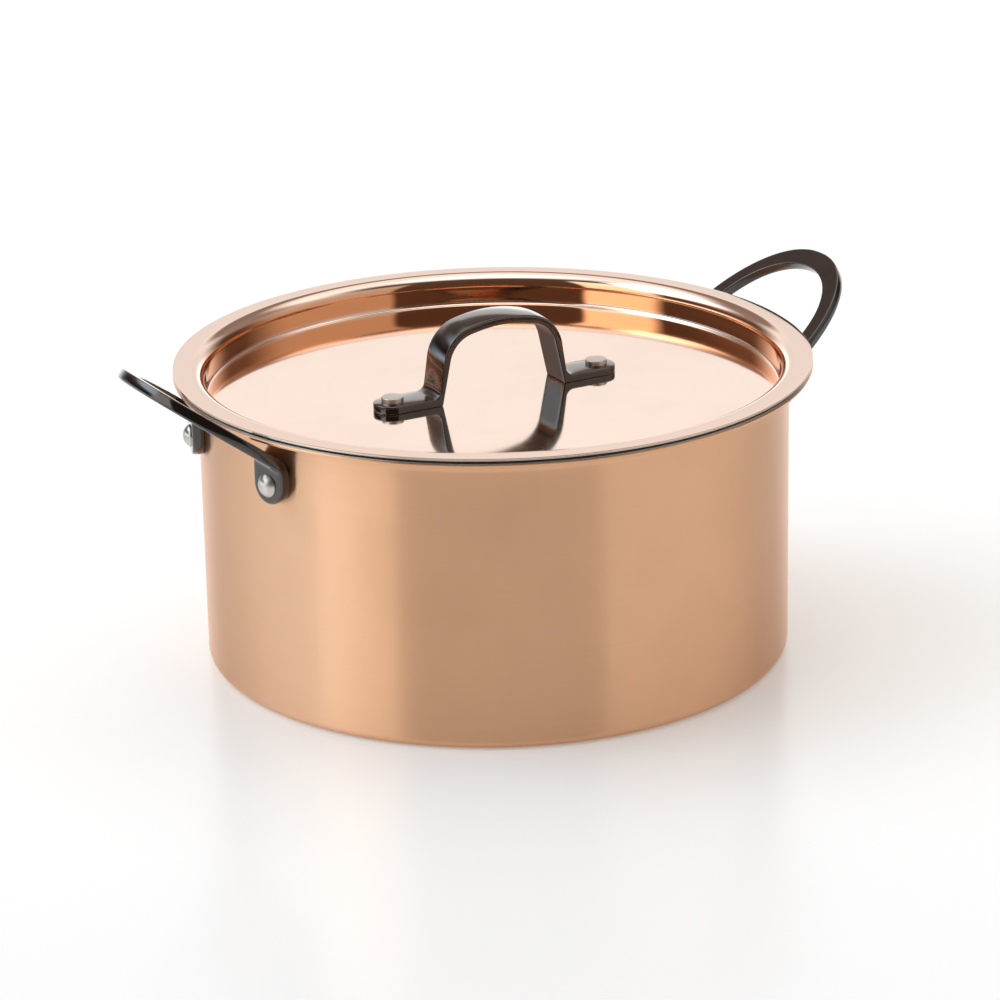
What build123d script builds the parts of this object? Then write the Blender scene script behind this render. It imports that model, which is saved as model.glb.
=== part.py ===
from build123d import *
from math import cos, pi, radians, sin
import os

# Two-handled copper casserole with a recessed lift-off lid.
# Millimetres, +Z up. The origin is the centre of the base, and the side handles lie along X.

# Pot: one flat-bottomed pressing in two bonded layers, with a flared pouring lip.
WALL_R = 122.5
CORNER_R = 4.0
COPPER_T = 1.4
LINING_T = 0.4
SHEET_T = COPPER_T + LINING_T
LIP_R = 6.1
LIP_CENTRE_Z = 115.8
LIP_END_DEG = 60.0

# Lid: a copper skin on a steel lining, pressed down inside the rim and flanged out over it.
LID_COPPER_T = 0.4
LID_LINING_T = 0.4
LID_T = LID_COPPER_T + LID_LINING_T
DISC_Z = 111.8
DISC_FILLET_R = 1.3
RECESS_R = 119.2
FLANGE_ROLL_R = 6.0
FLANGE_Z = 125.0
FLANGE_R = 132.2

# Side handles: a flat cast loop that rises outward from two feet riveted to the wall.
# Each edge of the loop is half a superellipse: half width, reach, power, and taper to the tip.
LOOP_RISE_DEG = 36.0
LOOP_START_X = 119.8
LOOP_START_Z = 114.3
LOOP_T = 4.5
LOOP_OUTER = (42.5, 51.6, 2.2, 0.082)
LOOP_INNER = (34.1, 43.0, 2.06, -0.058)
LOOP_STEPS = 24
LEG_DEPTH = 7.0
LOOP_EDGE_R = 1.0
KNEE_R = 6.0
FOOT_DEG = 16.7
FOOT_R = 8.0
FOOT_FACE_R = 127.2
FOOT_EDGE_R = 0.8

# Rivets that hold the side handles: a domed head outside and a flat head inside the pot.
RIVET_Z = 101.6
RIVET_SHANK_R = 2.6
RIVET_HEAD_R = 4.7
RIVET_DOME_H = 3.0
RIVET_RIM_H = 0.5
INNER_HEAD_R = 5.0
INNER_HEAD_T = 1.6

# Lid handle: a flat strap cast as an arch, with two feet riveted to the disc.
# It stands off the lid's centre, and its heights are above the disc.
# Each side's outline, from foot to crown, is a row of corners: across, up, and bend radius.
STRAP_W = 15.5
STRAP_EDGE_R = 0.5
FOOT_T = 3.7
ARCH_CENTRE = (-1.4, -4.7)
ARCH_LENGTH = 112.0
ARCH_TOP = [(30.4, FOOT_T, 3.1), (26.6, 29.7, 17.0), (0.0, 35.4, 60.0)]
ARCH_UNDER = [(28.6, 0.0, 0.5), (22.8, 26.6, 13.0), (0.0, 31.4, 57.0)]
STUD_X = 48.0
STUD_SHANK_R = 2.2
STUD_HEAD_R = 4.6
STUD_HEAD_H = 1.7
STUD_UNDER_T = 1.2

# Long enough to pass through any wall here when used as a cutting tool.
REACH = 400.0


def ring_face(outer, inner):
    """Face between two section curves that both start on the axis and end at the sheet's edge."""
    start = Line(outer[0] @ 0, inner[0] @ 0)
    end = Line(outer[-1] @ 1, inner[-1] @ 1)
    return make_face([start, *outer, end, *inner])


def pot_curve(depth):
    """Section of the pot's sheet at a depth below its copper face, from the axis to the lip."""
    corner_x = WALL_R - CORNER_R
    return [
        Line((0, depth), (corner_x, depth)),
        CenterArc((corner_x, CORNER_R), CORNER_R - depth, -90, 90),
        Line((WALL_R - depth, CORNER_R), (WALL_R - depth, LIP_CENTRE_Z)),
        CenterArc((WALL_R + LIP_R, LIP_CENTRE_Z), LIP_R + depth, 180, LIP_END_DEG - 180),
    ]


def lid_curve(depth):
    """Section of the lid's sheet at a depth below its copper face, from the axis to the flange."""
    fillet_x = RECESS_R - DISC_FILLET_R
    roll_x = RECESS_R + FLANGE_ROLL_R
    roll_z = FLANGE_Z - FLANGE_ROLL_R
    fillet_z = DISC_Z + DISC_FILLET_R
    return [
        Line((0, DISC_Z - depth), (fillet_x, DISC_Z - depth)),
        CenterArc((fillet_x, fillet_z), DISC_FILLET_R + depth, -90, 90),
        Line((RECESS_R + depth, fillet_z), (RECESS_R + depth, roll_z)),
        CenterArc((roll_x, roll_z), FLANGE_ROLL_R - depth, 180, -90),
        Line((roll_x, FLANGE_Z - depth), (FLANGE_R, FLANGE_Z - depth)),
    ]


def turned_layer(curve, top, bottom):
    """One layer of sheet, turned about the pot's axis, between two depths of its section."""
    return revolve(Plane.XZ * ring_face(curve(top), curve(bottom)), Axis.Z)


def loop_point(t, half_width, reach, power, taper):
    """Point of a tapered superellipse, at an angle in radians from its right-hand end."""
    up = reach * abs(sin(t)) ** (2 / power)
    across = half_width * abs(cos(t)) ** (2 / power) * (1 - taper * up / reach)
    return (across if t < pi / 2 else -across, up)


def loop_outline(half_width, reach, power, taper):
    """Filled outline of one edge of the loop: two parallel legs that meet in a round end."""
    angles = [pi * i / LOOP_STEPS for i in range(LOOP_STEPS + 1)]
    points = [loop_point(t, half_width, reach, power, taper) for t in angles]
    points[0] = (half_width, 0)
    points[-1] = (-half_width, 0)
    round_end = Spline(points, tangents=[(0, 1), (0, -1)])
    corners = [(-half_width, 0), (-half_width, -LEG_DEPTH), (half_width, -LEG_DEPTH), (half_width, 0)]
    return make_face([round_end, Polyline(corners)])


def loop_plane():
    """Plane of the loop's top face, with its own Y up the slope, away from the pot."""
    rise = radians(LOOP_RISE_DEG)
    return Plane(
        origin=(LOOP_START_X, 0, LOOP_START_Z),
        x_dir=(0, -1, 0),
        z_dir=(-sin(rise), 0, cos(rise)),
    )


def handle_loop():
    """The handle's inclined loop, with its long edges rounded."""
    outline = loop_outline(*LOOP_OUTER) - loop_outline(*LOOP_INNER)
    plate = extrude(loop_plane() * outline, -LOOP_T)
    rims = plate.faces().sort_by(SortBy.AREA)[-2:]
    edges = [e for face in rims for e in face.edges() if e.length > 2 * LOOP_T]
    return fillet(edges, LOOP_EDGE_R)


def foot_plane(side):
    """Plane across the pot's axis that faces out along one foot's rivet."""
    turn = radians(side * FOOT_DEG)
    out = (cos(turn), sin(turn), 0)
    return Plane(origin=(0, 0, RIVET_Z), x_dir=(-sin(turn), cos(turn), 0), z_dir=out)


def handle_foot(side):
    """A foot with a round lower end, cut off at its top by the loop's upper face."""
    top = LOOP_START_Z + LOOP_T - RIVET_Z
    outline = Circle(FOOT_R) + Pos(0, top / 2) * Rectangle(2 * FOOT_R, top)
    foot = extrude(foot_plane(side) * outline, FOOT_FACE_R)
    front = foot.faces().sort_by(Axis(origin=(0, 0, RIVET_Z), direction=foot_plane(side).z_dir))[-1]
    foot = fillet(front.edges(), FOOT_EDGE_R)
    above = extrude(loop_plane() * Rectangle(REACH, REACH), REACH / 2)
    return foot - above


def side_handle():
    """One side handle, hollowed at the back to the pot's wall and bored for its rivets."""
    handle = handle_loop()
    for side in (-1, 1):
        handle = handle + handle_foot(side)
    handle = handle - Cylinder(WALL_R, REACH)
    handle = fillet(knee_edges(handle), KNEE_R)
    for side in (-1, 1):
        handle = handle - rivet_shank(side)
    return handle


def knee_edges(handle):
    """The edges behind each foot where the wall's hollow meets the loop's top face."""
    curves = handle.edges().filter_by(GeomType.ELLIPSE)
    return [e for e in curves if e.length > FOOT_R and e.center().Z > RIVET_Z + FOOT_R]


def rivet_shank(side):
    """Cutter for one side rivet's hole, from outside the pot to its middle."""
    return extrude(foot_plane(side) * Circle(RIVET_SHANK_R), REACH / 2)


def side_rivet(side):
    """A rivet along its foot's axis: domed head, shank, and a flat head inside the pot."""
    inner_wall = WALL_R - SHEET_T
    back = inner_wall - INNER_HEAD_T
    rim = FOOT_FACE_R + RIVET_RIM_H
    top = FOOT_FACE_R + RIVET_DOME_H
    dome = TangentArc((0, top), (RIVET_HEAD_R, rim), tangent=(1, 0))
    head_side = [(RIVET_HEAD_R, rim), (RIVET_HEAD_R, FOOT_FACE_R), (RIVET_SHANK_R, FOOT_FACE_R)]
    section = make_face([dome, Polyline(*head_side, (RIVET_SHANK_R, back), (0, back), (0, top))])
    rivet = foot_plane(side) * revolve(Plane.XZ * section, Axis.Z)
    inner = extrude(foot_plane(side).offset(back) * Circle(INNER_HEAD_R), 2 * INNER_HEAD_T)
    return rivet + (inner & Cylinder(inner_wall, REACH))


def arch_line(corners):
    """One side of the strap's outline, from the left foot's end to the right foot's end."""
    end = (ARCH_LENGTH / 2, corners[0][1])
    right = [end] + [(x, z) for x, z, bend in corners[:-1]]
    left = [(-x, z) for x, z in right]
    crown = corners[-1][:2]
    bends = [bend for x, z, bend in corners]
    bends = bends + bends[-2::-1]
    return FilletPolyline(*left, crown, *reversed(right), radius=bends)


def lid_handle():
    """The strap cut from its side outline, with each foot's end rounded in plan."""
    top = arch_line(ARCH_TOP)
    under = arch_line(ARCH_UNDER)
    ends = [Line(top @ 0, under @ 0), Line(top @ 1, under @ 1)]
    outline = make_face([*top.edges(), *under.edges(), *ends])
    strap = extrude(Plane.XZ * outline, STRAP_W / 2, both=True)
    strap = strap & extrude(SlotOverall(ARCH_LENGTH, STRAP_W), REACH)
    rims = [strap.edges().filter_by(on_side(side)) for side in (-1, 1)]
    strap = fillet([*rims[0], *rims[1]], STRAP_EDGE_R)
    strap = Pos(*ARCH_CENTRE, DISC_Z) * strap
    for side in (-1, 1):
        strap = strap - stud_shank(side)
    return strap


def on_side(side):
    """Test for the edges that run along one flat side of the strap, away from its foot ends."""
    flat = side * STRAP_W / 2
    reach = ARCH_LENGTH / 2 - STRAP_W / 2
    return lambda edge: all(
        abs(edge.position_at(t).Y - flat) < 0.01 and abs(edge.position_at(t).X) < reach + 0.01
        for t in (0, 0.5, 1)
    )


def stud_shank(side):
    """Cutter for one lid rivet's hole."""
    x, y = ARCH_CENTRE
    return Pos(x + side * STUD_X, y, DISC_Z) * Cylinder(STUD_SHANK_R, REACH / 4)


def lid_rivet(side):
    """A lid rivet: flat-topped head on the strap, shank, and a flat head under the lid."""
    foot_top = DISC_Z + FOOT_T
    underside = DISC_Z - LID_T
    seat = Align.CENTER, Align.CENTER, Align.MIN
    head = Pos(0, 0, foot_top) * Cylinder(STUD_HEAD_R, STUD_HEAD_H, align=seat)
    head = fillet(head.edges().group_by(Axis.Z)[-1], 0.3)
    shank = Pos(0, 0, underside) * Cylinder(STUD_SHANK_R, foot_top - underside, align=seat)
    under = Pos(0, 0, underside - STUD_UNDER_T) * Cylinder(STUD_HEAD_R, STUD_UNDER_T, align=seat)
    x, y = ARCH_CENTRE
    return Pos(x + side * STUD_X, y, 0) * (head + shank + under)


def pierced(layer, cutters):
    """A layer of sheet with its rivet holes."""
    for cutter in cutters:
        layer = layer - cutter
    return layer


def pot_layer(top, bottom):
    """One layer of the pot, pierced for the four side rivets."""
    cutters = [rivet_shank(side) for side in (-1, 1)]
    cutters += [Rot(0, 0, 180) * cutter for cutter in cutters]
    return pierced(turned_layer(pot_curve, top, bottom), cutters)


def lid_layer(top, bottom):
    """One layer of the lid, pierced for the two lid rivets."""
    return pierced(turned_layer(lid_curve, top, bottom), [stud_shank(side) for side in (-1, 1)])


def sub_parts():
    """Every sub-part by its name."""
    parts = {
        "pot_copper_shell": pot_layer(0, COPPER_T),
        "pot_steel_lining": pot_layer(COPPER_T, SHEET_T),
        "lid_copper_skin": lid_layer(0, LID_COPPER_T),
        "lid_steel_lining": lid_layer(LID_COPPER_T, LID_T),
        "lid_handle": lid_handle(),
        "lid_handle_left_rivet": lid_rivet(-1),
        "lid_handle_right_rivet": lid_rivet(1),
    }
    handle = side_handle()
    for name, turn in (("right", 0), ("left", 180)):
        parts[name + "_handle"] = Rot(0, 0, turn) * handle
        for end, side in (("front", -1), ("rear", 1)):
            where = side if turn == 0 else -side
            parts[name + "_handle_" + end + "_rivet"] = Rot(0, 0, turn) * side_rivet(where)
    return parts


os.makedirs("parts", exist_ok=True)
for node, shape in sub_parts().items():
    export_step(shape, "parts/" + node + ".step")
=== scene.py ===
from math import asin, atan2, cos, degrees, hypot, pi, radians, sin, sqrt, tan

import bmesh
import bpy
from mathutils import Matrix, Vector


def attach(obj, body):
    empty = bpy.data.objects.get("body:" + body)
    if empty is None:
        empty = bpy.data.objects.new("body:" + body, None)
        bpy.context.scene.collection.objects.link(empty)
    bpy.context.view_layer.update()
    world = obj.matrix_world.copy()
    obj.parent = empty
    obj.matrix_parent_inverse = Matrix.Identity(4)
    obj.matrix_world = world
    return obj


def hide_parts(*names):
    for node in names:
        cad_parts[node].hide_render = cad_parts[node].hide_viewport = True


# Looks for a two-handled copper casserole with a recessed lid.
# The shapes are drawn in millimetres, in the part's own frame, and scaled to metres once made.
MM = 0.001
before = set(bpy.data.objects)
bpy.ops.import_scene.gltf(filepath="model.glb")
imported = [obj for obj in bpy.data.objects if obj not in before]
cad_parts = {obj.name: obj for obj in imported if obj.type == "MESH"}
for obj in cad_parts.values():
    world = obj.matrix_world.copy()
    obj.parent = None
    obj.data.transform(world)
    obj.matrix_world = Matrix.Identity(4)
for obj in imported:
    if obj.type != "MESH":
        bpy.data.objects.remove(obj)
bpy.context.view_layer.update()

# ---------------------------------------------------------------- driving sizes, mm

WALL_R = 122.5          # the pot's copper, outside
CORNER_R = 4.0
COPPER_T = 1.4
LINING_T = 0.4
SHEET_T = COPPER_T + LINING_T
LIP_R = 6.1
LIP_CENTRE_Z = 115.8
LIP_END_DEG = 60.0      # where the flared lip ends, as an angle about its own centre
LINING_END_DEG = 66.0

LID_COPPER_T = 0.4
LID_LINING_T = 0.4
LID_T = LID_COPPER_T + LID_LINING_T
DISC_Z = 111.8          # top face of the lid's disc
DISC_FILLET_R = 1.3
RECESS_R = 119.2
FLANGE_ROLL_R = 6.0
FLANGE_Z = 125.0
FLANGE_R = 132.2
EDGE_R = 0.12           # rounding of a sheet's cut edge
LAYER_GAP = 0.01        # between a copper layer and its lining

LOOP_RISE = radians(36.0)
LOOP_START_X = 119.8
LOOP_START_Z = 114.3
LOOP_T = 4.5
LOOP_OUTER = (42.5, 51.6, 2.2, 0.082)     # half width, reach, power and taper of the outer edge
LOOP_INNER = (34.1, 43.0, 2.06, -0.058)   # the same for the inner edge
LOOP_JOIN = 0.30        # superellipse parameter at which the legs take over from the loop
LOOP_PROFILE = (LOOP_T, 0.45, 1.0, 0.12)  # depth, top and under radius and bulge of the bar's side
FOOT_AZIMUTH = radians(16.7)
FOOT_R = 8.0
FOOT_FACE_R = 127.2     # the foot's flat front, from the pot's axis
FOOT_BACK_GAP = 0.05    # between the foot's hollowed back and the pot's wall
KNEE_BACK = 6.5         # how far the knee's bend runs along each arm, on the bar's upper side
KNEE_FRONT = 2.0        # and on its under side

RIVET_Z = 101.6         # the feet are rounded about their rivets
RIVET_SHANK_R = 2.6
RIVET_HEAD_R = 4.7
RIVET_DOME_H = 3.0
RIVET_RIM_H = 0.5
RIVET_EDGE_R = 0.2
RIVET_EDGE_DROP = 0.25  # from the dome's rim down to the centre of the edge's rounding
RIVET_EDGE_FROM = 40.0  # angle at which the dome runs into that rounding
INNER_HEAD_R = 5.0
INNER_HEAD_T = 1.6
INNER_HEAD_EDGE_R = 0.4
INNER_HEAD_GAP = 0.1

STRAP_W = 15.5
STRAP_CROWN = 0.5       # how far the strap's top face rises between its edges
FOOT_T = 3.2            # thickness of the lid handle's feet
STRAP_PROFILE = (FOOT_T, 0.5, 0.45, 0.05)
ARCH_LENGTH = 112.0
ARCH_CENTRE = Vector((-1.4, -4.7, 0.0))
# corners of the arch's top and under face as x, height above the disc and rounding; the last is the crown
ARCH_TOP = [(29.9, FOOT_T, 3.6), (26.1, 29.2, 17.0), (0.0, 34.9, 60.0)]
ARCH_LOW = [(28.6, 0.0, 0.5), (22.8, 26.6, 13.0), (0.0, 31.4, 57.0)]

STUD_X = 48.0
STUD_HEAD_R = 4.6
STUD_SHANK_R = STUD_HEAD_R / 2
STUD_HEAD_H = 2.2
STUD_EDGE_R = 0.3
STUD_SUNK = 0.2         # how far the head's under face is let into the foot
STUD_UNDER_T = 1.2

# ---------------------------------------------------------------- mesh density

AROUND = 360            # segments round the pot and the lid
AROUND_SMALL = 64       # segments round a rivet
AROUND_FLOOR = 96
QUARTER = 4             # steps round the small rounding of an edge
POT_STEPS = 10          # rings across the pot's bottom, and up its wall
DISC_STEPS = 12
SHORT_STEPS = 4         # rings up the lid's recess wall, and across its flange
DOME_STEPS = 12
HEAD_STEPS = 5          # round the edge of a flat rivet head
FILLET_STEPS = 14       # steps round the pot's and the disc's corner
LIP_STEPS = 30
ROLL_STEPS = 20
SIDE_STEPS = 6          # steps down the flat of a casting's side
LOOP_ACROSS = 6         # strips across the loop
STRAP_ACROSS = 8        # strips across the strap
FOOT_STEPS = 14         # steps round a loop's foot
SHIN_STEPS = 4          # up the foot's side
KNEE_STEPS = 10         # round the knee
LEG_STEPS = 8           # along the leg
LOOP_STEPS = 40         # round half of the loop
STRAP_END_STEPS = 13    # round the end of the strap's foot
ARCH_STEPS = [(8, 12), (10, 20), (6, 16)]  # steps along the run before each bend of the arch, and round it
MERGE = 0.002           # points closer than this become one
SHEET_CREASE = 32.0     # degrees from which an edge is drawn crisp
CAST_CREASE = 40.0


# ---------------------------------------------------------------- mesh tools

def add_object(name, bm, crease=SHEET_CREASE):
    """Links a bmesh drawn in millimetres as a metre-sized, smooth-shaded object with crisp edges."""
    bmesh.ops.scale(bm, vec=(MM, MM, MM), verts=bm.verts)
    bmesh.ops.recalc_face_normals(bm, faces=bm.faces)
    limit = radians(crease)
    for face in bm.faces:
        face.smooth = True
    for edge in bm.edges:
        if len(edge.link_faces) == 2 and edge.calc_face_angle(0.0) > limit:
            edge.smooth = False
    mesh = bpy.data.meshes.new(name)
    bm.to_mesh(mesh)
    bm.free()
    obj = bpy.data.objects.new(name, mesh)
    bpy.context.scene.collection.objects.link(obj)
    return obj


def arc(centre, radius, start_deg, end_deg, steps):
    """Points of an arc in a section, both ends included."""
    turn = (end_deg - start_deg) / steps
    angles = [radians(start_deg + turn * i) for i in range(steps + 1)]
    return [(centre[0] + radius * cos(a), centre[1] + radius * sin(a)) for a in angles]


def lathe(bm, outline, around, matrix=None):
    """Turns an outline of (radius, height) about Z, or about the axis that the matrix gives.

    A point at radius 0 becomes one vertex.
    """
    rings = []
    for radius, height in outline:
        if radius < 1e-6:
            rings.append([bm.verts.new((0, 0, height))])
            continue
        angles = [2 * pi * i / around for i in range(around)]
        rings.append([bm.verts.new((radius * cos(a), radius * sin(a), height)) for a in angles])
    made = [v for ring in rings for v in ring]
    for low, high in zip(rings, rings[1:]):
        for i in range(around):
            j = (i + 1) % around
            if len(low) == 1 and len(high) == 1:
                break
            if len(low) == 1:
                bm.faces.new((low[0], high[i], high[j]))
            elif len(high) == 1:
                bm.faces.new((low[i], low[j], high[0]))
            else:
                bm.faces.new((low[i], low[j], high[j], high[i]))
    if matrix is not None:
        bmesh.ops.transform(bm, matrix=matrix, verts=made)


# ---------------------------------------------------------------- pot

def pot_section(depth):
    """The pot's sheet at a depth below its copper face, from the axis to the lip.

    The steel lining stops just short of the copper at the lip.
    """
    corner_x = WALL_R - CORNER_R
    flat = [(corner_x * i / POT_STEPS, depth) for i in range(POT_STEPS)]
    bend = arc((corner_x, CORNER_R), CORNER_R - depth, -90, 0, FILLET_STEPS)
    wall_r = WALL_R - depth
    tall = LIP_CENTRE_Z - CORNER_R
    wall = [(wall_r, CORNER_R + tall * i / POT_STEPS) for i in range(1, POT_STEPS)]
    end_deg = LIP_END_DEG if depth <= COPPER_T else LINING_END_DEG
    lip = arc((WALL_R + LIP_R, LIP_CENTRE_Z), LIP_R + depth, 180, end_deg, LIP_STEPS)
    return flat + bend + wall + lip


def rounded_end(a, b, radius):
    """Points round the two corners of a sheet's cut edge, from outline a's end to outline b's end."""
    (ax, az), (bx, bz) = a[-1], b[-1]
    thick = hypot(bx - ax, bz - az)
    across = ((bx - ax) / thick, (bz - az) / thick)
    back = (a[-2][0] - ax, a[-2][1] - az)
    length = hypot(*back)
    back = (back[0] / length, back[1] / length)
    turns = [radians(90 * i / QUARTER) for i in range(QUARTER + 1)]
    corners = [(radius * (1 - sin(t)), radius * (1 - cos(t))) for t in turns]
    corners += [(radius * (1 - cos(t)), thick - radius * (1 - sin(t))) for t in turns]
    return [(ax + back[0] * inward + across[0] * over, az + back[1] * inward + across[1] * over)
            for inward, over in corners]


def sheet_layer(name, section, top, bottom, radius):
    """A closed layer of turned sheet between two depths of a section, with its cut edge rounded."""
    outer, inner = section(top), section(bottom)
    outline = outer[:-1] + rounded_end(outer, inner, radius) + inner[-2::-1]
    bm = bmesh.new()
    lathe(bm, outline, AROUND)
    return add_object(name, bm)


def lid_section(depth):
    """The lid's sheet at a depth below its copper face, from the axis to the flange."""
    fillet_x = RECESS_R - DISC_FILLET_R
    roll_x = RECESS_R + FLANGE_ROLL_R
    roll_z = FLANGE_Z - FLANGE_ROLL_R
    fillet_z = DISC_Z + DISC_FILLET_R
    disc = [(fillet_x * i / DISC_STEPS, DISC_Z - depth) for i in range(DISC_STEPS)]
    fillet = arc((fillet_x, fillet_z), DISC_FILLET_R + depth, -90, 0, FILLET_STEPS)
    wall_r = RECESS_R + depth
    wall = [(wall_r, fillet_z + (roll_z - fillet_z) * i / SHORT_STEPS) for i in range(1, SHORT_STEPS)]
    roll = arc((roll_x, roll_z), FLANGE_ROLL_R - depth, 180, 90, ROLL_STEPS)
    flat = [(roll_x + (FLANGE_R - roll_x) * i / SHORT_STEPS, FLANGE_Z - depth)
            for i in range(1, SHORT_STEPS + 1)]
    return disc + fillet + wall + roll + flat


pot_copper = sheet_layer("pot_copper", pot_section, 0.0, COPPER_T, EDGE_R)
pot_lining = sheet_layer("pot_lining", pot_section, COPPER_T + LAYER_GAP, SHEET_T, EDGE_R)
lid_copper = sheet_layer("lid_copper", lid_section, 0.0, LID_COPPER_T, EDGE_R)
lid_lining = sheet_layer("lid_lining", lid_section, LID_COPPER_T + LAYER_GAP, LID_T, EDGE_R)


# ---------------------------------------------------------------- swept castings

def unit(vector):
    """The vector's direction."""
    return vector.normalized()


def bridge(bm, sections):
    """Skins a row of closed sections. The first and the last are flat, so that the skin closes there."""
    rings = [[bm.verts.new(p) for p in section] for section in sections]
    count = len(rings[0])
    for low, high in zip(rings, rings[1:]):
        for i in range(count):
            j = (i + 1) % count
            bm.faces.new((low[i], low[j], high[j], high[i]))


def edge_profile(depth, top_r, low_r, bulge):
    """Side of a cast bar as (inset, depth) points, from its top face to its under face."""
    turns = [radians(90 / QUARTER * i) for i in range(QUARTER + 1)]
    low = depth - low_r
    points = [(top_r * (1 - sin(a)), top_r * (1 - cos(a))) for a in turns]
    for i in range(1, SIDE_STEPS):
        t = i / SIDE_STEPS
        points.append((-bulge * sin(pi * t), top_r + (low - top_r) * t))
    return points + [(low_r * (1 - cos(a)), low + low_r * sin(a)) for a in turns]


def bar_section(top_a, low_a, in_a, top_b, low_b, in_b, depth, profile, crown, across):
    """One closed section of a bar between its two edges, a and b.

    top and low are an edge's sharp corners, and in_ is the direction from it into the bar.
    """
    def side(top, low, inward):
        return [top + inward * inset + (low - top) * (down / depth) for inset, down in profile]

    side_a = side(top_a, low_a, in_a)
    side_b = side(top_b, low_b, in_b)
    rise_a, rise_b = unit(top_a - low_a), unit(top_b - low_b)
    top_face, low_face = [], []
    for i in range(1, across):
        t = i / across
        lift = (rise_a * (1 - t) + rise_b * t) * crown * (1 - (2 * t - 1) ** 2)
        top_face.append(side_b[0].lerp(side_a[0], t) + lift)
        low_face.append(side_a[-1].lerp(side_b[-1], t))
    return side_a + low_face + side_b[::-1] + top_face


def superellipse(t, half_width, reach, power, taper):
    """Point of a tapered superellipse in the loop's plane: across and up the slope."""
    up = reach * abs(sin(t)) ** (2 / power)
    across = half_width * abs(cos(t)) ** (2 / power) * (1 - taper * up / reach)
    return across, up


def loop_place(across, up, down):
    """A point of the loop from its own plane: down is the depth below the top face."""
    return Vector((
        LOOP_START_X + up * cos(LOOP_RISE) + down * sin(LOOP_RISE),
        across,
        LOOP_START_Z + up * sin(LOOP_RISE) - down * cos(LOOP_RISE),
    ))


def foot_place(aside, z, radius):
    """A point of the foot at y > 0: aside is tangential, positive away from the handle's middle."""
    x = radius * cos(FOOT_AZIMUTH) - aside * sin(FOOT_AZIMUTH)
    y = radius * sin(FOOT_AZIMUTH) + aside * cos(FOOT_AZIMUTH)
    return Vector((x, y, z))


def bezier(a, b, c, t):
    """A point of the curve from a to c that b draws towards itself."""
    return a * (1 - t) ** 2 + b * 2 * t * (1 - t) + c * t**2


def hermite(p0, m0, p1, m1, t):
    """A point of the curve from p0 to p1 that leaves along m0 and arrives along m1."""
    h00 = 2 * t**3 - 3 * t**2 + 1
    h10 = t**3 - 2 * t**2 + t
    h01 = -2 * t**3 + 3 * t**2
    h11 = t**3 - t**2
    return p0 * h00 + m0 * h10 + p1 * h01 + m1 * h11


def handle_edge(outer, back):
    """Stations along one of the handle's four long corners, from the foot's tip to the loop's middle.

    outer picks the loop's outer edge, and back the side that lies on the wall at the foot and on top of
    the loop. Returns the points and, for each, the direction from that corner into the bar.
    """
    sign = 1 if outer else -1
    shape = LOOP_OUTER if outer else LOOP_INNER
    down = 0.0 if back else LOOP_T
    points, inwards = [], []

    def foot_radius(aside):
        return sqrt(WALL_R**2 - aside**2) + FOOT_BACK_GAP if back else FOOT_FACE_R

    # round the foot, from its tip to its side
    for i in range(FOOT_STEPS + 1):
        a = radians(-90 + 90 * i / FOOT_STEPS)
        aside = sign * FOOT_R * cos(a)
        points.append(foot_place(aside, RIVET_Z + FOOT_R * sin(a), foot_radius(aside)))
        inwards.append(-foot_place(sign * cos(a), sin(a), 0))

    # up the foot's side, to where the knee's bend starts
    aside = sign * FOOT_R
    foot_top = foot_place(aside, 0, foot_radius(aside))
    knee_z = loop_place(0, (foot_top.x - LOOP_START_X - down * sin(LOOP_RISE)) / cos(LOOP_RISE), down).z
    knee = Vector((foot_top.x, foot_top.y, knee_z))
    bend = KNEE_BACK if back else KNEE_FRONT
    into_foot = -foot_place(sign, 0, 0)
    start = knee - Vector((0, 0, bend))
    low = points[-1]
    for i in range(1, SHIN_STEPS + 1):
        points.append(low.lerp(start, i / SHIN_STEPS))
        inwards.append(into_foot)

    # round the knee
    join = loop_place(*superellipse(LOOP_JOIN, *shape), down)
    ahead = loop_place(*superellipse(LOOP_JOIN + 0.01, *shape), down)
    join_dir = unit(ahead - join)
    arm = unit(join - knee)
    end = knee + arm * bend
    into_leg = Vector((0, -sign, 0))
    for i in range(1, KNEE_STEPS + 1):
        t = i / KNEE_STEPS
        points.append(bezier(start, knee, end, t))
        inwards.append(unit(into_foot.lerp(into_leg, t * t * (3 - 2 * t))))

    # along the leg, and round the loop to its middle
    span = (join - end).length
    for i in range(1, LEG_STEPS + 1):
        points.append(hermite(end, arm * span, join, join_dir * span, i / LEG_STEPS))
        inwards.append(None)
    for i in range(1, LOOP_STEPS + 1):
        t = LOOP_JOIN + (pi / 2 - LOOP_JOIN) * i / LOOP_STEPS
        points.append(loop_place(*superellipse(t, *shape), down))
        inwards.append(None)
    normal = Vector((-sin(LOOP_RISE), 0, cos(LOOP_RISE)))
    for i, inward in enumerate(inwards):
        if inward is None:
            last = i + 1 == len(points)
            along = Vector((0, -1, 0)) if last else unit(points[i + 1] - points[i - 1])
            inwards[i] = unit(normal.cross(along)) * -sign
    return points, inwards


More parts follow.
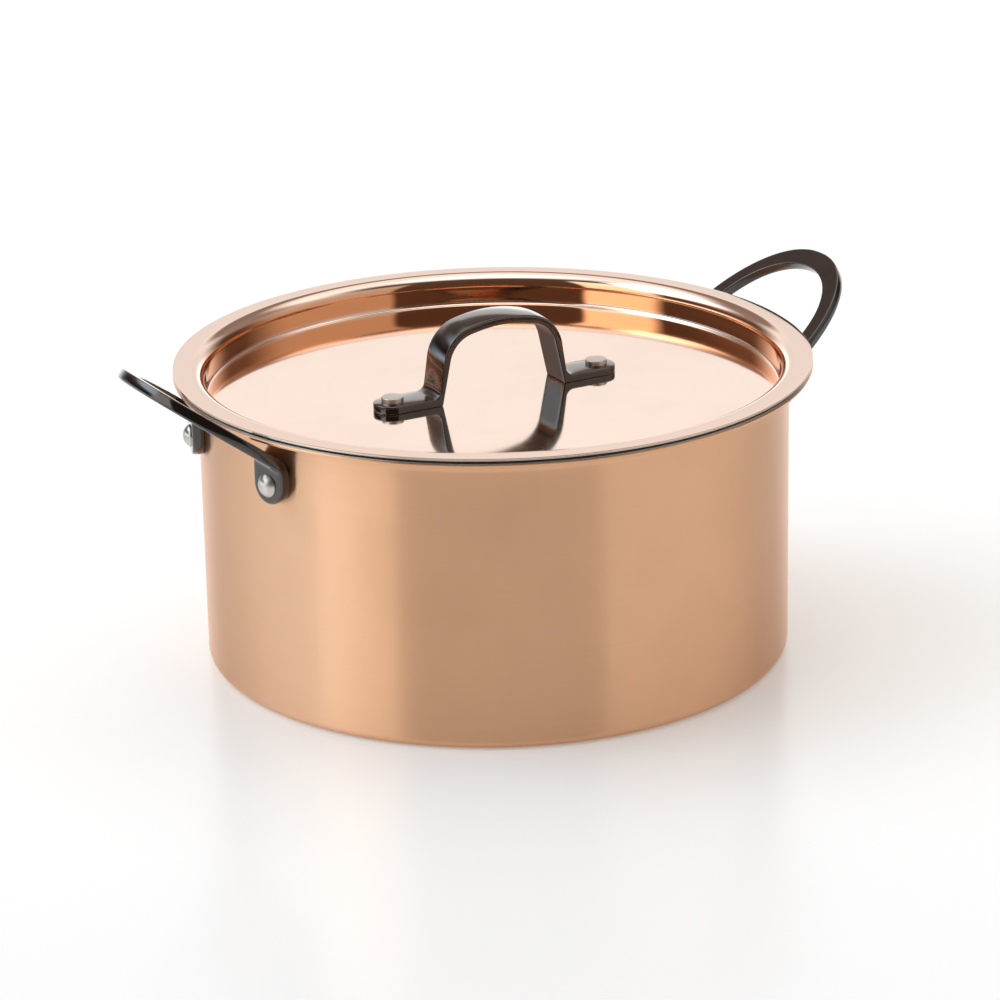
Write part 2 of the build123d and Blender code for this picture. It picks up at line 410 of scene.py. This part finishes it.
def side_handle(name, turn_deg):
    """A cast loop with two feet: half of it is swept, then mirrored across the XZ plane."""
    top_out, into_out = handle_edge(outer=True, back=True)
    low_out, _ = handle_edge(outer=True, back=False)
    top_in, into_in = handle_edge(outer=False, back=True)
    low_in, _ = handle_edge(outer=False, back=False)
    profile = edge_profile(*LOOP_PROFILE)
    crown = 0.0
    sections = [bar_section(*corners, LOOP_T, profile, crown, LOOP_ACROSS)
                for corners in zip(top_out, low_out, into_out, top_in, low_in, into_in)]
    mirrored = [[Vector((p.x, -p.y, p.z)) for p in s] for s in sections[-2::-1]]
    bm = bmesh.new()
    bridge(bm, sections + mirrored)
    bmesh.ops.remove_doubles(bm, verts=bm.verts, dist=MERGE)
    turn = Matrix.Rotation(radians(turn_deg), 3, "Z")
    bmesh.ops.rotate(bm, cent=(0, 0, 0), matrix=turn, verts=bm.verts)
    return add_object(name, bm, CAST_CREASE)


right_handle = side_handle("right_handle_cast", 0)
left_handle = side_handle("left_handle_cast", 180)


# ---------------------------------------------------------------- lid handle

def fillet_points(corners, end_x, steps):
    """A row of (x, z) stations along a polyline with rounded corners, from a foot's end to the crown.

    corners holds (x, z, radius), and the bend at the last one, the crown, stops at the middle.
    steps holds, for each corner, the steps along the run before it and those round its bend.
    """
    path = [Vector((end_x, corners[0][1]))] + [Vector(c[:2]) for c in corners]
    path.append(Vector((-corners[-2][0], corners[-2][1])))
    bends = []
    for i in range(1, len(path) - 1):
        a, b, c = path[i - 1], path[i], path[i + 1]
        u, v = unit(a - b), unit(c - b)
        half = u.angle(v) / 2
        radius = corners[i - 1][2]
        reach = radius / tan(half)
        middle = b + unit(u + v) * (radius / sin(half))
        bends.append((b + u * reach, b + v * reach, middle, radius))
    stations = []
    start = path[0]
    for k, (first, last, middle, radius) in enumerate(bends):
        runs, turns = steps[k]
        crown = k == len(bends) - 1
        for i in range(runs):
            stations.append(start.lerp(first, i / runs))
        a0 = atan2(first.y - middle.y, first.x - middle.x)
        a1 = atan2(last.y - middle.y, last.x - middle.x)
        sweep = (a1 - a0 + pi) % (2 * pi) - pi
        if crown:
            sweep /= 2
        for i in range(turns + 1 if crown else turns):
            a = a0 + sweep * i / turns
            stations.append(Vector((middle.x + radius * cos(a), middle.y + radius * sin(a))))
        start = last
    return stations


def strap_handle():
    """The arched strap, with a crowned top face and rounded foot ends."""
    half = STRAP_W / 2
    foot_x = ARCH_LENGTH / 2 - half
    profile = edge_profile(*STRAP_PROFILE)
    sections = []

    # round the foot's end, from its tip to its full width
    base = Vector((foot_x, 0, DISC_Z))
    up = Vector((0, 0, FOOT_T))
    for i in range(STRAP_END_STEPS):
        a = radians(90 * (1 - i / STRAP_END_STEPS))
        out = Vector((sin(a), cos(a), 0))
        flip = Vector((sin(a), -cos(a), 0))
        sections.append(bar_section(base + up + out * half, base + out * half, -out,
                                    base + up + flip * half, base + flip * half, -flip,
                                    FOOT_T, profile, STRAP_CROWN * cos(a), STRAP_ACROSS))

    # along the foot and up the arch, to its crown
    def place(station, y):
        return Vector((station.x, y, DISC_Z + station.y))

    tops = fillet_points(ARCH_TOP, foot_x, ARCH_STEPS)
    lows = fillet_points(ARCH_LOW, foot_x, ARCH_STEPS)
    for top, low in zip(tops, lows):
        sections.append(bar_section(place(top, half), place(low, half), Vector((0, -1, 0)),
                                    place(top, -half), place(low, -half), Vector((0, 1, 0)),
                                    FOOT_T, profile, STRAP_CROWN, STRAP_ACROSS))
    mirrored = [[Vector((-p.x, p.y, p.z)) for p in s] for s in sections[-2::-1]]
    bm = bmesh.new()
    bridge(bm, sections + mirrored)
    bmesh.ops.remove_doubles(bm, verts=bm.verts, dist=MERGE)
    bmesh.ops.translate(bm, vec=ARCH_CENTRE, verts=bm.verts)
    return add_object("lid_handle_cast", bm, CAST_CREASE)


lid_handle = strap_handle()


# ---------------------------------------------------------------- rivets

def side_rivet(name, azimuth):
    """A domed rivet through a foot and the pot's wall, with a flat head inside."""
    inner_wall = WALL_R - SHEET_T
    rise = RIVET_DOME_H - RIVET_RIM_H
    dome_r = (RIVET_HEAD_R**2 + rise**2) / (2 * rise)
    half = degrees(asin(RIVET_HEAD_R / dome_r))
    dome_centre = FOOT_FACE_R + RIVET_DOME_H - dome_r
    back = inner_wall - INNER_HEAD_T
    rim = (RIVET_HEAD_R - RIVET_EDGE_R, FOOT_FACE_R + RIVET_RIM_H - RIVET_EDGE_DROP)
    under = inner_wall - INNER_HEAD_GAP
    outline = [(0.0, FOOT_FACE_R + RIVET_DOME_H)]
    outline += arc((0, dome_centre), dome_r, 90, 90 - half, DOME_STEPS)[1:]
    outline += arc(rim, RIVET_EDGE_R, RIVET_EDGE_FROM, 0, 3)
    outline += [
        (RIVET_HEAD_R, FOOT_FACE_R),
        (RIVET_SHANK_R, FOOT_FACE_R),
        (RIVET_SHANK_R, under),
        (INNER_HEAD_R, under),
    ]
    edge = (INNER_HEAD_R - INNER_HEAD_EDGE_R, back + INNER_HEAD_EDGE_R)
    outline += arc(edge, INNER_HEAD_EDGE_R, 0, -90, HEAD_STEPS)
    outline += [(0.0, back)]
    place = Matrix.Rotation(azimuth, 4, "Z") @ Matrix.Rotation(pi / 2, 4, "Y")
    bm = bmesh.new()
    lathe(bm, outline, AROUND_SMALL, Matrix.Translation((0, 0, RIVET_Z)) @ place)
    return add_object(name, bm)


def lid_rivet(name, x):
    """A flat-topped rivet on the strap's foot, with a flat head under the lid."""
    foot_top = DISC_Z + FOOT_T
    top = foot_top + STUD_HEAD_H
    under = DISC_Z - LID_T
    low = under - STUD_UNDER_T
    outline = [(0.0, top), (STUD_SHANK_R, top)]
    outline += arc((STUD_HEAD_R - STUD_EDGE_R, top - STUD_EDGE_R), STUD_EDGE_R, 90, 0, HEAD_STEPS)
    outline += [
        (STUD_HEAD_R, foot_top - STUD_SUNK),
        (STUD_SHANK_R, foot_top - STUD_SUNK),
        (STUD_SHANK_R, under),
        (STUD_HEAD_R, under),
    ]
    outline += arc((STUD_HEAD_R - STUD_EDGE_R, low + STUD_EDGE_R), STUD_EDGE_R, 0, -90, HEAD_STEPS)
    outline += [(0.0, low)]
    bm = bmesh.new()
    lathe(bm, outline, AROUND_SMALL, Matrix.Translation(ARCH_CENTRE + Vector((x, 0, 0))))
    return add_object(name, bm)


rivets = {
    "right_handle_front_rivet": side_rivet("right_front_rivet", -FOOT_AZIMUTH),
    "right_handle_rear_rivet": side_rivet("right_rear_rivet", FOOT_AZIMUTH),
    "left_handle_front_rivet": side_rivet("left_front_rivet", pi + FOOT_AZIMUTH),
    "left_handle_rear_rivet": side_rivet("left_rear_rivet", pi - FOOT_AZIMUTH),
}
studs = {
    "lid_handle_left_rivet": lid_rivet("lid_left_rivet", -STUD_X),
    "lid_handle_right_rivet": lid_rivet("lid_right_rivet", STUD_X),
}


# ---------------------------------------------------------------- materials

class Graph:
    """A small helper that adds nodes and links to one node tree."""

    def __init__(self, tree):
        self.nodes = tree.nodes
        self.links = tree.links

    def add(self, kind, inputs=None, **settings):
        node = self.nodes.new(kind)
        for key, value in settings.items():
            setattr(node, key, value)
        for key, value in (inputs or {}).items():
            self.feed(node.inputs[key], value)
        return node

    def feed(self, socket, value):
        if isinstance(value, bpy.types.NodeSocket):
            self.links.new(value, socket)
        else:
            socket.default_value = value

    def math(self, operation, a, b=0.0, c=0.0):
        return self.add("ShaderNodeMath", {0: a, 1: b, 2: c}, operation=operation).outputs[0]

    def noise(self, vector, scale, detail, fourth=None):
        """Noise between about 0 and 1, in three dimensions, or in four where a fourth value is given."""
        inputs = {"Vector": vector, "Scale": scale, "Detail": detail}
        if fourth is None:
            return self.add("ShaderNodeTexNoise", inputs).outputs[0]
        return self.add("ShaderNodeTexNoise", {**inputs, "W": fourth}, noise_dimensions="4D").outputs[0]

    def place(self):
        """Where a point lies on its object, in metres."""
        return self.add("ShaderNodeTexCoord").outputs["Object"]

    def smooth(self, value, low, high):
        """0 below low, 1 above high and a soft step between; low may be above high."""
        node = self.add("ShaderNodeMapRange", {"Value": value, "From Min": low, "From Max": high},
                        interpolation_type="SMOOTHSTEP")
        return node.outputs["Result"]

    def mix(self, factor, a, b):
        node = self.add("ShaderNodeMix", data_type="RGBA")
        self.feed(node.inputs[0], factor)
        self.feed(node.inputs[6], a)
        self.feed(node.inputs[7], b)
        return node.outputs[2]


def turned_coordinates(graph, along, across):
    """Coordinates for marks that run round the Z axis: slow along them and quick across them.

    Returns a vector, for the direction and the height, and a fourth value, for the radius.
    """
    x, y, z = graph.add("ShaderNodeSeparateXYZ", {0: graph.place()}).outputs
    squares = graph.math("ADD", graph.math("MULTIPLY", x, x), graph.math("MULTIPLY", y, y))
    radius = graph.math("SQRT", squares)
    safe = graph.math("MAXIMUM", radius, 1e-5)
    vector = graph.add("ShaderNodeCombineXYZ", {
        0: graph.math("MULTIPLY", graph.math("DIVIDE", x, safe), along),
        1: graph.math("MULTIPLY", graph.math("DIVIDE", y, safe), along),
        2: graph.math("MULTIPLY", z, across),
    }).outputs[0]
    return vector, graph.math("MULTIPLY", radius, across)


def new_material(name):
    """A material with only a Principled shader in it, and its graph."""
    material = bpy.data.materials.new(name)
    material.use_nodes = True
    graph = Graph(material.node_tree)
    graph.nodes.clear()
    shader = graph.add("ShaderNodeBsdfPrincipled")
    output = graph.add("ShaderNodeOutputMaterial")
    graph.links.new(shader.outputs[0], output.inputs[0])
    return material, graph, shader


FINE_MARKS = 9000.0     # marks per metre across the lathe's direction
BROAD_MARKS = FINE_MARKS / 5
RELIEF_DEPTH = 0.00005  # metres


def paint_lid_shade(graph, surface, recess_painted_shade, flange_painted_shade):
    """Paints shade into the lid's copper: a deeper copper on the wall above the disc and a darker one on
    the flange over it, as painted shade.
    """
    z = graph.add("ShaderNodeSeparateXYZ", {0: graph.place()}).outputs[2]
    above_disc = graph.smooth(z, (DISC_Z + 0.6) * MM, (DISC_Z + 2.4) * MM)
    below_flange = graph.smooth(z, (FLANGE_Z - 1.2) * MM, (FLANGE_Z - 4.0) * MM)
    on_flange = graph.smooth(z, (FLANGE_Z - 1.5) * MM, (FLANGE_Z - 0.3) * MM)
    surface = graph.mix(graph.math("MULTIPLY", above_disc, below_flange), surface, recess_painted_shade)
    return graph.mix(on_flange, surface, flange_painted_shade)


def turned_metal(name, color, tint, rough, rough_range, anisotropic, bump, recess_painted_shade=None, flange_painted_shade=None):
    """Metal polished or brushed on a lathe, with fine marks that run round the Z axis.

    The two further colours are painted shade: a deeper copper for the wall above the lid's disc and a
    darker one for its flange.
    """
    material, graph, shader = new_material(name)
    vector, radius = turned_coordinates(graph, 2.0, FINE_MARKS)
    fine = graph.noise(vector, 1.0, 2.0, radius)
    vector, radius = turned_coordinates(graph, 0.8, BROAD_MARKS)
    broad = graph.noise(vector, 1.0, 3.0, radius)
    marks = graph.math("ADD", graph.math("MULTIPLY", fine, 0.75), graph.math("MULTIPLY", broad, 0.25))
    contrast = graph.smooth(marks, 0.3, 0.7)
    clouds = graph.smooth(graph.noise(graph.place(), 22.0, 3.0), 0.45, 0.65)
    shade = [c * 0.95 for c in color[:3]] + [1]
    surface = graph.mix(contrast, color, tint)
    surface = graph.mix(graph.math("MULTIPLY", clouds, 0.5), surface, shade)
    if recess_painted_shade:
        surface = paint_lid_shade(graph, surface, recess_painted_shade, flange_painted_shade)
    graph.feed(shader.inputs["Base Color"], surface)
    graph.feed(shader.inputs["Roughness"], graph.math("MULTIPLY_ADD", contrast, rough_range, rough))
    shader.inputs["Metallic"].default_value = 1.0
    shader.inputs["Anisotropic"].default_value = anisotropic
    shader.inputs["Anisotropic Rotation"].default_value = 0.25
    tangent = graph.add("ShaderNodeTangent", direction_type="RADIAL", axis="Z")
    graph.links.new(tangent.outputs[0], shader.inputs["Tangent"])
    relief = graph.add("ShaderNodeBump", {"Height": marks, "Strength": bump, "Distance": RELIEF_DEPTH})
    graph.links.new(relief.outputs[0], shader.inputs["Normal"])
    return material


def cast_metal(name, color, tint, rough, rough_range, coat=0.0):
    """Smooth cast metal with faint mottling, and a clear polish over it where coat is above 0."""
    material, graph, shader = new_material(name)
    contrast = graph.smooth(graph.noise(graph.place(), 90.0, 3.0), 0.35, 0.65)
    grain = graph.noise(graph.place(), 2600.0, 1.0)
    graph.feed(shader.inputs["Base Color"], graph.mix(contrast, color, tint))
    graph.feed(shader.inputs["Roughness"], graph.math("MULTIPLY_ADD", contrast, rough_range, rough))
    shader.inputs["Metallic"].default_value = 1.0
    shader.inputs["Coat Weight"].default_value = coat
    shader.inputs["Coat Roughness"].default_value = 0.1
    shader.inputs["Coat IOR"].default_value = 1.7
    relief = graph.add("ShaderNodeBump", {"Height": grain, "Strength": 0.03, "Distance": RELIEF_DEPTH})
    graph.links.new(relief.outputs[0], shader.inputs["Normal"])
    return material


wall_copper = turned_metal(
    "wall_copper", (0.82, 0.475, 0.28, 1), (0.84, 0.495, 0.30, 1),
    rough=0.30, rough_range=0.015, anisotropic=1.0, bump=0.02)
# The lid's disc copper is painted pale, a painted highlight; the deeper copper on the wall above the disc
# and the darker one on its flange are painted shade.
lid_polish = turned_metal(
    "lid_polished_copper", (0.89, 0.72, 0.61, 1), (0.91, 0.75, 0.64, 1),
    rough=0.05, rough_range=0.03, anisotropic=0.4, bump=0.02,
    recess_painted_shade=(0.95, 0.46, 0.23, 1), flange_painted_shade=(0.76, 0.59, 0.49, 1))
steel = turned_metal(
    "lining_steel", (0.52, 0.50, 0.45, 1), (0.58, 0.555, 0.51, 1),
    rough=0.24, rough_range=0.06, anisotropic=0.7, bump=0.12)
dark_cast = cast_metal(
    "dark_cast", (0.030, 0.024, 0.019, 1), (0.042, 0.034, 0.027, 1),
    rough=0.10, rough_range=0.05, coat=1.0)
rivet_steel = cast_metal(
    "rivet_steel", (0.54, 0.515, 0.465, 1), (0.62, 0.595, 0.54, 1),
    rough=0.24, rough_range=0.1)


def dress(obj, material, body, slot_name, *nodes):
    """Gives a piece its material, the body it moves with and the CAD nodes it stands for; its slot name is
    not used.
    """
    obj.data.materials.clear()
    obj.data.materials.append(material)
    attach(obj, body)
    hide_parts(*nodes)


dress(pot_copper, wall_copper, "pot", "copper_satin", "pot_copper_shell")
dress(pot_lining, steel, "pot", "steel_lining", "pot_steel_lining")
dress(lid_copper, lid_polish, "lid", "copper_polished", "lid_copper_skin")
dress(lid_lining, steel, "lid", "steel_lining", "lid_steel_lining")
dress(right_handle, dark_cast, "pot", "cast_handle", "right_handle")
dress(left_handle, dark_cast, "pot", "cast_handle", "left_handle")
dress(lid_handle, dark_cast, "lid", "cast_handle", "lid_handle")
for node, rivet in rivets.items():
    dress(rivet, rivet_steel, "pot", "rivet_steel", node)
for node, stud in studs.items():
    dress(stud, rivet_steel, "lid", "rivet_steel", node)


# ---------------------------------------------------------------- floor, light and camera

FLOOR_RINGS = (0.0, 200.0, 600.0, 12000.0)  # mm


def pale_floor():
    """A broad glossy white tabletop."""
    bm = bmesh.new()
    lathe(bm, [(radius, 0.0) for radius in FLOOR_RINGS], AROUND_FLOOR)
    floor = add_object("floor", bm)
    material, graph, shader = new_material("floor_white")
    shader.inputs["Base Color"].default_value = (0.93, 0.935, 0.93, 1)
    shader.inputs["Roughness"].default_value = 0.22
    shader.inputs["Emission Color"].default_value = (0.94, 1, 0.99, 1)
    shader.inputs["Emission Strength"].default_value = 0.2
    shader.inputs["IOR"].default_value = 1.8
    floor.data.materials.append(material)


pale_floor()

CAMERA_AZIMUTH = -28.3   # degrees, as are the elevation and the roll
CAMERA_ELEVATION = 19.57
CAMERA_ROLL = -1.18
CAMERA_DISTANCE = 1.65375  # metres
CAMERA_TARGET = Vector((0, 0, 0.06125))
CAMERA_LENS = 141.95
SENSOR_WIDTH = 36.0
CAMERA_SHIFT = (0.0044, 0.0009)
CAMERA_CLIP = (0.05, 60.0)


def studio_light():
    """Soft boxes of light in the surrounding world, by direction. The background itself shows white."""
    world = bpy.data.worlds.new("studio")
    bpy.context.scene.world = world
    world.use_nodes = True
    graph = Graph(world.node_tree)
    graph.nodes.clear()
    direction = graph.add("ShaderNodeTexCoord").outputs["Generated"]
    turned = graph.add("ShaderNodeVectorRotate", {"Vector": direction, "Angle": radians(-CAMERA_AZIMUTH)},
                       rotation_type="Z_AXIS").outputs[0]
    x, y, z = graph.add("ShaderNodeSeparateXYZ", {0: turned}).outputs

    # aside is 0 towards the camera and grows to its right, and height is above the floor, both in degrees
    aside = graph.math("MULTIPLY", graph.math("ARCTAN2", x, graph.math("MULTIPLY", y, -1.0)), 180 / pi)
    height = graph.math("MULTIPLY", graph.math("ARCSINE", z), 180 / pi)

    # each box: aside from and to, softness of each end, height from and to, its softness, strength, colour
    white, cool, warm = (1.0, 0.995, 0.985), (0.80, 1.0, 1.19), (1.2, 0.88, 0.76)
    boxes = [
        (-180, 180, 0.0, 0.0, -95, 95, 0.0, 0.08, warm),   # the room itself
        (-72, -39, 5.0, 2.0, 10, 50, 5.0, 1.5, white),     # left soft box
        (-118, -58, 22.0, 20.0, -14, 6, 6.0, 2.6, cool),   # low glow beside it
        (-118, -70, 22.0, 8.0, 29, 60, 5.0, 2.7, cool),    # high glow beside it
        (41, 106, 2.0, 18.0, 2, 50, 7.0, 0.50, white),     # right soft box
        (100, 260, 20.0, 20.0, 20, 52, 6.0, 0.20, warm),   # dim wall behind
        (150, 214, 16.0, 16.0, -6, 25, 3.0, 0.92, white),  # lit backdrop
        (150, 214, 16.0, 16.0, -6, 8, 5.0, 0.5, white),    # brighter at its foot
        (90, 270, 25.0, 25.0, 46, 95, 7.0, 1.15, white),   # overhead scrim, behind
        (-90, 90, 25.0, 25.0, 66, 95, 7.0, 1.15, white),   # overhead scrim, in front
        (-180, 180, 0.0, 0.0, 74, 95, 8.0, 0.62, white),   # brightest straight above
    ]
    total = None
    for left, right, soft_left, soft_right, low, high, blur, strength, colour in boxes:
        value = strength
        if right - left < 360:
            middle, half = (left + right) / 2, (right - left) / 2
            offset = graph.math("WRAP", graph.math("SUBTRACT", aside, middle), 180.0, -180.0)
            rise = graph.smooth(offset, -half - soft_left, -half + soft_left)
            fall = graph.smooth(offset, half + soft_right, half - soft_right)
            value = graph.math("MULTIPLY", graph.math("MULTIPLY", rise, fall), value)
        if high - low < 190:
            middle, half = (low + high) / 2, (high - low) / 2
            away = graph.math("ABSOLUTE", graph.math("SUBTRACT", height, middle))
            value = graph.math("MULTIPLY", graph.smooth(away, half + blur, half - blur - 0.01), value)
        light = graph.add("ShaderNodeVectorMath", {0: colour, "Scale": value}, operation="SCALE").outputs[0]
        if total is not None:
            light = graph.add("ShaderNodeVectorMath", {0: total, 1: light}, operation="ADD").outputs[0]
        total = light

    lit = graph.add("ShaderNodeBackground", {"Color": total, "Strength": 1.0})
    plain = graph.add("ShaderNodeBackground", {"Color": (1, 1, 1, 1), "Strength": 1.0})
    seen = graph.add("ShaderNodeLightPath").outputs["Is Camera Ray"]
    mixed = graph.add("ShaderNodeMixShader", {0: seen, 1: lit.outputs[0], 2: plain.outputs[0]})
    output = graph.add("ShaderNodeOutputWorld")
    graph.links.new(mixed.outputs[0], output.inputs[0])


studio_light()


def place_camera():
    """The camera, on a sphere round its target, rolled about its own line of sight."""
    data = bpy.data.cameras.new("camera")
    data.sensor_width = SENSOR_WIDTH
    data.lens = CAMERA_LENS
    data.shift_x, data.shift_y = CAMERA_SHIFT
    data.clip_start, data.clip_end = CAMERA_CLIP
    camera = bpy.data.objects.new("camera", data)
    bpy.context.scene.collection.objects.link(camera)
    a, e = radians(CAMERA_AZIMUTH), radians(CAMERA_ELEVATION)
    back = Vector((sin(a) * cos(e), -cos(a) * cos(e), sin(e)))
    camera.location = CAMERA_TARGET + back * CAMERA_DISTANCE
    aim = (-back).to_track_quat("-Z", "Y").to_matrix().to_4x4()
    roll = Matrix.Rotation(radians(CAMERA_ROLL), 4, "Z")
    camera.matrix_world = Matrix.Translation(camera.location) @ aim @ roll
    bpy.context.scene.camera = camera


place_camera()
bpy.context.scene.view_settings.view_transform = "Standard"
